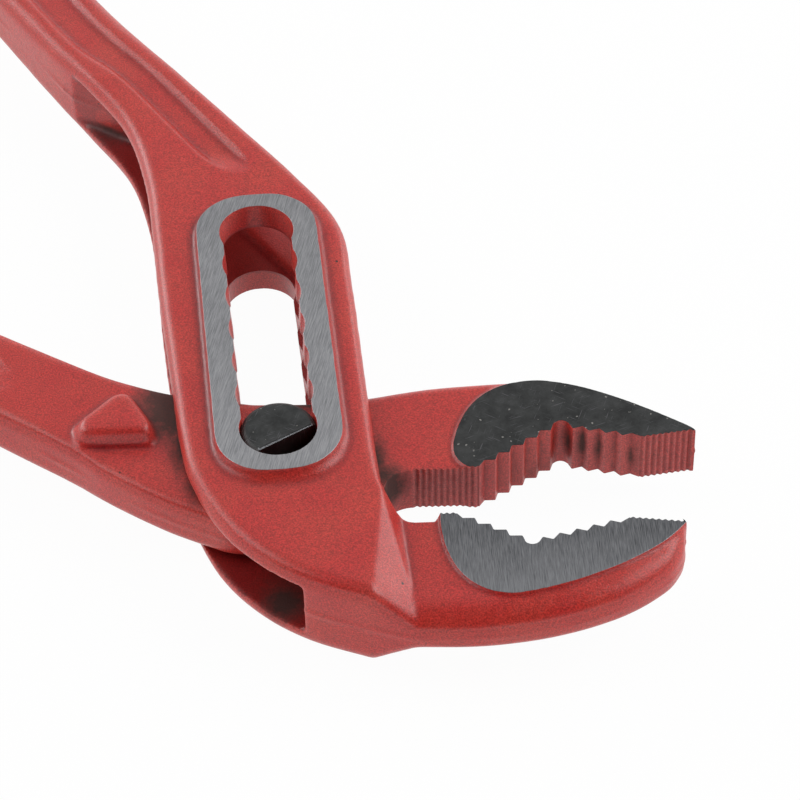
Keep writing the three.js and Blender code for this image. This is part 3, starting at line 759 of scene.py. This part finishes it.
def finishLands(piece, *lands):  # a land: height, limits, rim, then the slots of its face and its edge
    bm = bmesh.new()
    bm.from_mesh(piece.data)
    bmesh.ops.dissolve_degenerate(bm, dist=rims["merge"], edges=bm.edges)
    both = [(sign, *row) for sign in (-1, 1) for row in lands]
    for sign, height, limits, (width, drop), faceSlot, edgeSlot in both:
        ground = facesOn(bm, sign * height, limits)
        rim = bmesh.ops.inset_region(
            bm, faces=ground, thickness=width, use_boundary=True, use_even_offset=True)["faces"]
        inside = set(v for face in ground for v in face.verts)
        for vert in set(v for face in rim for v in face.verts) - inside:
            vert.co.z -= sign * drop
        for face in ground:
            face.material_index = faceSlot
        for face in rim:
            face.material_index = edgeSlot
    bm.to_mesh(piece.data)
    bm.free()


# Dirt, wear and painted shade that the lacquer reads: dirt and painted shade where the arms rub and in tooth
# roots, rubbed tooth tips, painted shade between the cheeks
soilingAndShade = {
    "rootReach": 0.6, "tipReach": 0.25, "toothTurn": 12, "cheekShade": 0.55, "shadeSpare": 0.1,
    # each spot: place and reach in millimetres, then strength
    # outer spots: dirt, and painted shade in the box's lower opening, in the slot's grooves by the pin and at
    # the window's left corner
    "outer": {"roots": 0.3, "tips": 0.4, "spots": [
        ((14, -6, 3.6), (5, 6, 4), 0.9), ((0.5, -20, -3.7), (5, 5, 3), 1.1),
        ((2, -17, -3.7), (9, 6, 4), 0.6), ((4.5, 8, 0), (2.2, 8, 9), 0.85),
        ((-5.5, 4, 0), (1.5, 4, 9), 0.5), ((38, -17.5, 0), (8, 2, 6), 0.35),
        ((-26.8, 73.8, -3.7), (8, 5, 1.3), 0.8),
    ]},
    # inner spots: dirt in the mouth's throat and by the cheek's right edge, and a painted shadow of the cheek
    # along its left edge
    "inner": {"roots": 0.36, "tips": 0.5, "spots": [
        ((-13.4, 9.6, 3.6), (8.6, 12, 3), 1.35), ((-12.4, 2, 3.6), (3.6, 9, 3), 1.05),
        ((-10.5, -5, 3.6), (3, 7, 3), 0.95), ((4, 9, 3.6), (6, 3, 3), 1.1),
        ((14, -5.2, 1.5), (4.4, 4, 6), 1.2), ((12.8, -2, 3.6), (2.6, 6, 2), 0.9),
        ((38.5, 3.2, 0.5), (1.6, 1.8, 5), 0.9), ((40.4, 2.6, 0.8), (1.1, 1.6, 5), 1.05),
        ((42.6, 2.3, 0.5), (1.2, 1.6, 5), 1.0), ((46.6, 1.2, -0.5), (1.1, 1.6, 4), 0.9),
        ((34, 1, -2.5), (9, 6, 4), 0.5),
    ]},
}


def cornersOf(outline, side):  # the roots (1) or the tips (-1) of a row of teeth
    p = np.array(outline)
    back, on = p - np.roll(p, 1, 0), np.roll(p, -1, 0) - p
    turn = np.degrees(np.arctan2(back[:, 0] * on[:, 1] - back[:, 1] * on[:, 0], (back * on).sum(1)))
    area = (p[:, 0] * np.roll(p[:, 1], -1) - p[:, 1] * np.roll(p[:, 0], -1)).sum()
    turn *= side * np.sign(area)
    return p[turn > soilingAndShade["toothTurn"]]


def spotted(co, spots):
    amount = np.zeros(len(co))
    for place, reach, strength in spots:
        away = norm((co - np.array(place)) / np.array(reach), axis=1)
        amount = np.maximum(amount, strength * np.clip(1 - away, 0, 1))
    return amount


def nearCorners(co, corners, reach):  # 1 at a corner of the teeth, 0 from the reach outwards
    amount = np.zeros(len(co))
    close = np.flatnonzero(co[:, 0] > corners[:, 0].min() - 1)
    for corner in corners:
        away = norm(co[close, :2] - corner, axis=1) / reach
        amount[close] = np.maximum(amount[close], np.clip(1 - away, 0, 1))
    return amount


# painted shade between the cheeks: faces inside the box are darkened, most where the cutter ran deeper
def insideBox(co):  # faces between the cheeks, 1 where the cutter ran deeper
    edges = np.array(windowOutline())
    within = np.zeros(len(co), bool)
    for a, b in zip(edges, np.roll(edges, -1, 0)):
        crosses = (a[1] > co[:, 1]) != (b[1] > co[:, 1])
        rise = b[1] - a[1] if b[1] != a[1] else 1e-9
        within ^= crosses & (co[:, 0] < a[0] + (co[:, 1] - a[1]) / rise * (b[0] - a[0]))
    depth = np.abs(co[:, 2]) - box["gap"] / 2
    low = within & (depth < box["relief"] + soilingAndShade["shadeSpare"])
    return low * mix(soilingAndShade["cheekShade"], 1.0, np.clip(2 * depth / box["relief"], 0, 1))


def soilAndShade(piece, name, mouth):
    co, amounts = vertices(piece), soilingAndShade[name]
    roots = nearCorners(co, cornersOf(mouth, 1), soilingAndShade["rootReach"])
    tips = nearCorners(co, cornersOf(mouth, -1), soilingAndShade["tipReach"])
    # grime and painted shade in one mask: dirt and shadow spots, and tooth roots darkened as dirt and painted
    # shade
    mark(piece, "grime", np.maximum(spotted(co, amounts["spots"]), amounts["roots"] * roots))
    mark(piece, "wear", amounts["tips"] * tips)
    # painted shade inside the box, on the outer arm only
    mark(piece, "oil", insideBox(co) if name == "outer" else np.zeros(len(co)))


def dress(piece, materials, body, node, sharpAngle):
    for material in materials:
        piece.data.materials.append(material)
    piece.data.transform(Matrix.Translation((0, 0, pinHalf)))
    piece.data.transform(Matrix.Scale(0.001, 4))
    piece.data.set_sharp_from_angle(angle=math.radians(sharpAngle))
    for face in piece.data.polygons:
        face.use_smooth = face.material_index == 0  # ground faces stay flat up to their edges
    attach(piece, body)
    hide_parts(node)
    report(f"{piece.name} dressed, {len(piece.data.polygons)} faces")


def linear(code):  # sRGB hex to linear colour
    parts = [int(code[i:i + 2], 16) / 255 for i in (1, 3, 5)]
    return tuple(p / 12.92 if p <= 0.04045 else ((p + 0.055) / 1.055) ** 2.4 for p in parts) + (1.0,)


def addNode(tree, kind, settings=None, links=None):  # a link from a node takes its first output in use
    made = tree.nodes.new("ShaderNode" + kind)
    for key, value in (settings or {}).items():
        if isinstance(key, int) or key in made.inputs:
            made.inputs[key].default_value = value
        else:
            setattr(made, key, value)
    for key, source in (links or {}).items():
        if isinstance(source, bpy.types.Node):
            source = next(socket for socket in source.outputs if socket.enabled)
        tree.links.new(source, made.inputs[key])
    return made


def span(start, stop, low=0.0, high=1.0, **more):  # settings of a range: two inputs and what they give
    return {"From Min": start, "From Max": stop, "To Min": low, "To Max": high, **more}


def noisy(mm, detail, roughness=0.5):  # settings of a noise with features of this size
    return {"Scale": 1000 / mm, "Detail": detail, "Roughness": roughness}


def tinted(*codes):  # settings of a colour mix: the last code is mixed into one before it
    return {"data_type": "RGBA", **{7 - i: linear(code) for i, code in enumerate(reversed(codes))}}


def newMaterial(name):
    material = bpy.data.materials.new(name)
    material.use_nodes = True
    material.node_tree.nodes.clear()
    return material, partial(addNode, material.node_tree)


def streaks(add, place, turn, sizeMm, detail, roughness=0.5):  # a noise drawn out along one direction
    scale = [mm / 1000 for mm in sizeMm]
    turned = {"vector_type": "TEXTURE", "Rotation": (0, 0, math.radians(turn)), "Scale": scale}
    run = add("Mapping", turned, {"Vector": place})
    return add("TexNoise", noisy(1000, detail, roughness), {"Vector": run})


# Stoved lacquer, sprayed over a shot-blasted forging: an even red that keeps the blasted grain, deeper where
# it pooled in hollows and darkened there further with painted shade, thinner and paler on edges, greyed by
# dirt and darkened by painted shade where the arms rub, in tooth roots and between the cheeks
lacquer = {
    "red": "#B12B27", "warm": "#B4342B", "pooledAndShade": "#7C1216", "thin": "#BA504A",
    "dirtAndShade": "#35231D", "chip": "#2B1A19", "oil": "#64171A",
    # each noise: size in millimetres, detail and roughness
    "grain": (0.22, 2, 0.6), "peel": (1.1, 1), "mottle": (7, 3), "smear": (0.9, 4, 0.65),
    "chipMm": 9, "grainDepthMm": 0.03, "peelDepthMm": 0.02, "ior": 1.5, "dirtRoughness": 0.75,
    # each range: where it starts and stops, then what it gives there
    "shade": (0.35, 0.65), "hollow": (0.06, 0.5, 0, 0.9), "edge": (-0.15, -0.9, 0, 0.55),
    "fleck": (0.3, 0.7, 0.55, 1.45), "soiledAndShaded": (0.48, 1.05, 0, 0.92), "chipped": (0.028, 0.018),
    "gloss": (0, 1, 0.24, 0.42), "boxShadeShare": 0.6, "seamShare": 0.5, "smearShare": 0.6,
}


def stovedLacquer():
    look = lacquer
    material, add = newMaterial("lacquer_stoved_on_blasted_steel")
    place = add("TexCoord").outputs["Object"]
    names = ("grain", "peel", "mottle", "smear")
    grain, peel, mottle, smear = [add("TexNoise", noisy(*look[name]), {"Vector": place}) for name in names]
    names = ("bend", "grime", "oil", "wear", "parting")
    marks = [add("Attribute", {"attribute_name": name}).outputs["Fac"] for name in names]
    bend, grime, oil, wear, parting = marks
    sources = {"shade": mottle, "hollow": bend, "edge": bend, "fleck": grain, "gloss": peel}
    ranges = [add("MapRange", span(*look[name]), {"Value": source}) for name, source in sources.items()]
    shade, hollow, edge, fleck, gloss = ranges
    outside = add("Math", {"operation": "SUBTRACT", "use_clamp": True}, {0: edge, 1: oil})
    rubbed = add("Math", {"operation": "MAXIMUM"}, {0: outside, 1: wear})
    # painted shade inside the box: a darker red there, and no pale edges
    shaded = add("Math", {"operation": "MULTIPLY", 1: look["boxShadeShare"]}, {0: oil})
    colour = add("Mix", tinted(look["red"], look["warm"]), {0: shade})
    # hollows: pooled lacquer deepened with painted shade; edges and tooth tips paler; painted shade inside
    # the box
    for name, share in (("pooledAndShade", hollow), ("thin", rubbed), ("oil", shaded)):
        colour = add("Mix", tinted(look[name]), {0: share, 6: colour})
    colour = add("VectorMath", {"operation": "SCALE"}, {0: colour, "Scale": fleck})
    # dirt and painted shade: the grime and shade mask, the parting seam and smears, mixed towards dark brown
    held = add("Math", {"operation": "MULTIPLY_ADD", 1: look["seamShare"]}, {0: parting, 2: grime})
    dirtyAndShaded = add("Math", {"operation": "MULTIPLY_ADD", 1: look["smearShare"]}, {0: smear, 2: held})
    dirtAndShade = add("MapRange", span(*look["soiledAndShaded"]), {"Value": dirtyAndShaded})
    cell = add("TexVoronoi", {"Scale": 1000 / look["chipMm"]}, {"Vector": place})
    chipped = add("MapRange", span(*look["chipped"]), {"Value": cell.outputs["Distance"]})
    for name, share in (("dirtAndShade", dirtAndShade), ("chip", chipped)):
        colour = add("Mix", tinted(look[name]), {0: share, 6: colour})
    dull = add("Mix", {"data_type": "FLOAT", 3: look["dirtRoughness"]}, {0: dirtAndShade, 2: gloss})
    bump = add("Bump", {"Distance": look["grainDepthMm"] / 1000}, {"Height": grain})
    bump = add("Bump", {"Distance": look["peelDepthMm"] / 1000}, {"Height": peel, "Normal": bump})
    surface = {"Base Color": colour, "Roughness": dull, "Normal": bump}
    shader = add("BsdfPrincipled", {"IOR": look["ior"]}, surface)
    add("OutputMaterial", {}, {"Surface": shader})
    return material


# Forging steel after surface grinding: bare grey metal with fine parallel lines the way the wheel ran
grinding = {
    # the wheel bit harder, and left the steel paler, towards one end of each face, in metres along y
    # each face is paler towards one end: where the ramp starts and stops in metres along y, then how much
    # paler
    "slot": {"pale": "#ACACAF", "dark": "#797A7D", "turn": 78, "paleRamp": (0.06, -0.02, 0, 0.1)},
    "jaw": {"pale": "#8A8B8E", "dark": "#505154", "turn": 92, "paleRamp": (-0.016, -0.028, 0, 0.22)},
    # wheel lines are finer than a pixel here, so they are drawn about three times as wide
    "lineMm": (2.4, 0.1, 10), "lines": (3, 0.7), "depthMm": 0.003, "patch": (9, 2), "patchShare": 0.15,
    "tone": (0.42, 0.8), "gloss": (0, 1, 0.32, 0.48),
}


def groundSteel(name, shades):
    look = {**grinding, **shades}
    material, add = newMaterial(name)
    place = add("TexCoord").outputs["Object"]
    lines = streaks(add, place, look["turn"], look["lineMm"], *look["lines"])
    patch = add("TexNoise", noisy(*look["patch"]), {"Vector": place})
    tone = add("Math", {"operation": "MULTIPLY_ADD", 1: look["patchShare"]}, {0: patch, 2: lines})
    height = add("SeparateXYZ", {}, {0: place}).outputs["Y"]
    paleRamp = add("MapRange", span(*look["paleRamp"]), {"Value": height})
    ramped = add("Math", {"operation": "ADD"}, {0: tone, 1: paleRamp})
    share = add("MapRange", span(*look["tone"]), {"Value": ramped})
    colour = add("Mix", tinted(look["dark"], look["pale"]), {0: share})
    gloss = add("MapRange", span(*look["gloss"]), {"Value": lines})
    bump = add("Bump", {"Distance": look["depthMm"] / 1000}, {"Height": lines})
    surface = {"Base Color": colour, "Roughness": gloss, "Normal": bump}
    shader = add("BsdfPrincipled", {"Metallic": 1.0}, surface)
    add("OutputMaterial", {}, {"Surface": shader})
    return material


# Black oxide on ground steel: a thin dark grey film with faint clouds, bright nicks and hair scratches
oxide = {
    "film": "#333434", "cloud": "#4B4C4C", "nick": "#8F8D89", "scratch": "#77767A", "metallic": 0.85,
    "clouds": (3, 5, 0.7), "clouded": (0.35, 0.7), "gloss": (0, 1, 0.4, 0.62),
    # hair scratches are far thinner than a pixel, so they are drawn wider and fainter
    "scratchTurns": (24, 71, 148), "scratchMm": (3.2, 0.16, 4), "scratched": (0.69, 0.79, 0, 0.6),
    "nickMm": 1.0, "warpMm": 0.5, "nickReach": (0.3, 1, 0, 0.19), "nickEdge": (0, 0.05),
}


def blackOxide():
    look = oxide
    material, add = newMaterial("steel_ground_then_black_oxide")
    place = add("TexCoord").outputs["Object"]
    cloud = add("TexNoise", noisy(*look["clouds"]), {"Vector": place})
    share = add("MapRange", span(*look["clouded"]), {"Value": cloud})
    colour = add("Mix", tinted(look["film"], look["cloud"]), {0: share})
    for turn in look["scratchTurns"]:
        line = streaks(add, place, turn, look["scratchMm"], 1)
        drawn = add("MapRange", span(*look["scratched"]), {"Value": line})
        colour = add("Mix", tinted(look["scratch"]), {0: drawn, 6: colour})
    warp = add("TexNoise", noisy(look["warpMm"], 2), {"Vector": place}).outputs["Color"]
    size = (look["warpMm"] / 1000,) * 3
    bent = add("VectorMath", {"operation": "MULTIPLY_ADD", 1: size}, {0: warp, 2: place})
    cell = add("TexVoronoi", {"Scale": 1000 / look["nickMm"]}, {"Vector": bent})
    odds = add("SeparateColor", {}, {0: cell.outputs["Color"]}).outputs["Red"]
    reach = add("MapRange", span(*look["nickReach"]), {"Value": odds})
    left = add("Math", {"operation": "SUBTRACT"}, {0: reach, 1: cell.outputs["Distance"]})
    nick = add("MapRange", span(*look["nickEdge"]), {"Value": left})
    colour = add("Mix", tinted(look["nick"]), {0: nick, 6: colour})
    gloss = add("MapRange", span(*look["gloss"]), {"Value": cloud})
    shader = add("BsdfPrincipled", {"Metallic": look["metallic"]}, {"Base Color": colour, "Roughness": gloss})
    add("OutputMaterial", {}, {"Surface": shader})
    return material


outer = buildOuterArm()
inner = buildInnerArm()
pinPiece = buildPin()

redLacquer = stovedLacquer()
slotSteel = groundSteel("steel_ground_along_the_slot", grinding["slot"])
jawSteel = groundSteel("steel_ground_across_the_jaw", grinding["jaw"])
oxideSteel = blackOxide()

slotLand = (toolHalf, rims["slotFaces"], rims["ground"], 1, 1)
finishLands(outer, slotLand, (jawHalf, rims["lowerFaces"], rims["ground"], 2, 2))
finishLands(inner, (jawHalf, rims["upperFaces"], rims["oxide"], 1, 1))
finishLands(pinPiece, (pinHalf, rims["pinFaces"], rims["pin"], 0, 1))
for face in pinPiece.data.polygons:  # only the edge of the flat is rubbed bright, not the round one
    if np.dot(face.center[:2], pointing(pin["flatFacing"])) < pin["flatOffset"] - pin["flatRim"]:
        face.material_index = 0

soilAndShade(outer, "outer", lowerMouth())
soilAndShade(inner, "inner", upperMouth())
dress(outer, [redLacquer, slotSteel, jawSteel], "outer_arm", "outer_arm", 34)
dress(inner, [redLacquer, oxideSteel, jawSteel], "inner_arm", "inner_arm", 34)
dress(pinPiece, [oxideSteel, jawSteel], "pivot_pin", "pivot_pin", 30)

# Studio: a white sweep that glows and so lights the tool from below, bright walls low down all round, a dim
# ceiling, a soft panel behind the tool that its level faces mirror, and little light from the camera's side,
# so that bevels facing it stay deep red
studio = {
    "floorZ": -0.0003, "floorReach": 3.0, "floorColour": "#F2F2F0", "glow": (0, 1, 0.6, 0.97),
    # each range of the world: by height for the walls, by closeness to a direction for the others
    "walls": (0.1, 0.42, 2.1, 0.12), "panel": (0.78, 0.92, 0, 0.95), "front": (0.7, 0.95, 1, 0.25),
    "panelWay": (0.0, 0.7, 0.714), "frontWay": (0.0, -0.72, 0.69),
    # each lamp: place, width, height and power
    "lamps": {
        "softboxHighLeft": ((-0.66, 0.1, 0.66), 0.6, 0.5, 3.0),
        "softboxHighRight": ((0.66, 0.1, 0.66), 0.6, 0.5, 4.3),
        "softboxLeft": ((-0.7, 0.6, 0.3), 0.5, 0.35, 2.5),
        "softboxRight": ((0.75, 0.55, 0.3), 0.5, 0.35, 1.8),
        "softboxFront": ((0.1, -0.85, 0.05), 0.8, 0.1, 0.2),
    },
}


def buildFloor():
    reach, low = studio["floorReach"], studio["floorZ"]
    corners = [(x * reach, y * reach, low) for x, y in ((-1, -1), (1, -1), (1, 1), (-1, 1))]
    mesh = bpy.data.meshes.new("floor")
    mesh.from_pydata(corners, [], [(0, 1, 2, 3)])
    floor = addObject("floor", mesh)
    material, add = newMaterial("paper_white_glowing_sweep")
    path = add("LightPath").outputs
    seen = add("Math", {"operation": "MAXIMUM"}, {0: path["Is Camera Ray"], 1: path["Is Glossy Ray"]})
    shown = add("Math", {"operation": "MAXIMUM"}, {0: seen, 1: path["Is Transmission Ray"]})
    # the sweep glows: nearly all white to the camera and in reflections, and partly for the light it throws
    # on the tool
    share = add("MapRange", span(*studio["glow"]), {"Value": shown})
    matt = add("BsdfDiffuse", {"Color": linear(studio["floorColour"])})
    white = add("Emission", {"Strength": 1.0})
    both = add("MixShader", {}, {0: share, 1: matt, 2: white})
    add("OutputMaterial", {}, {"Surface": both})
    mesh.materials.append(material)


def buildLamps():
    for name, (place, width, height, power) in studio["lamps"].items():
        lamp = bpy.data.lights.new(name, "AREA")
        lamp.shape, lamp.size, lamp.size_y, lamp.energy = "RECTANGLE", width, height, power
        stand = addObject(name, lamp)
        stand.location = place
        stand.rotation_euler = (-stand.location).to_track_quat("-Z", "Y").to_euler()


def buildWorld():
    world = bpy.data.worlds.new("studio")
    world.use_nodes = True
    bpy.context.scene.world = world
    world.node_tree.nodes.clear()
    add = partial(addNode, world.node_tree)
    way = add("TexCoord").outputs["Generated"]
    sources = {"walls": add("SeparateXYZ", {}, {0: way}).outputs["Z"]}
    for name in ("panel", "front"):
        facing = {"operation": "DOT_PRODUCT", 1: studio[name + "Way"]}
        sources[name] = add("VectorMath", facing, {0: way})
    light = {}
    for name, source in sources.items():
        ranged = span(*studio[name], interpolation_type="SMOOTHSTEP")
        light[name] = add("MapRange", ranged, {"Value": source})
    around = add("Math", {"operation": "MAXIMUM"}, {0: light["walls"], 1: light["panel"]})
    level = add("Math", {"operation": "MULTIPLY"}, {0: around, 1: light["front"]})
    sky = add("Background", {}, {"Strength": level})
    add("OutputWorld", {}, {"Surface": sky})


# Camera: where the photograph was taken from, placed for a square frame 800 pixels wide; the frame size is
# not set here
view = {
    "place": (0.016117, -0.293295, 0.317873), "lens": 144.0, "sensor": 36.0, "clip": (0.01, 20.0),
    "right": (0.99964, -0.019145, -0.018856),
    "up": (0.026871, 0.71220, 0.70146), "back": (0.0, -0.70171, 0.71246),
}


def buildCamera():
    data = bpy.data.cameras.new("camera")
    data.lens, data.sensor_width = view["lens"], view["sensor"]
    data.clip_start, data.clip_end = view["clip"]
    camera = addObject("camera", data)
    turn = Matrix((view["right"], view["up"], view["back"])).transposed().to_4x4()
    camera.matrix_world = Matrix.Translation(view["place"]) @ turn
    bpy.context.scene.camera = camera


bpy.context.scene.view_settings.view_transform = "Standard"
buildFloor()
buildLamps()
buildWorld()
buildCamera()
report("studio and camera set")
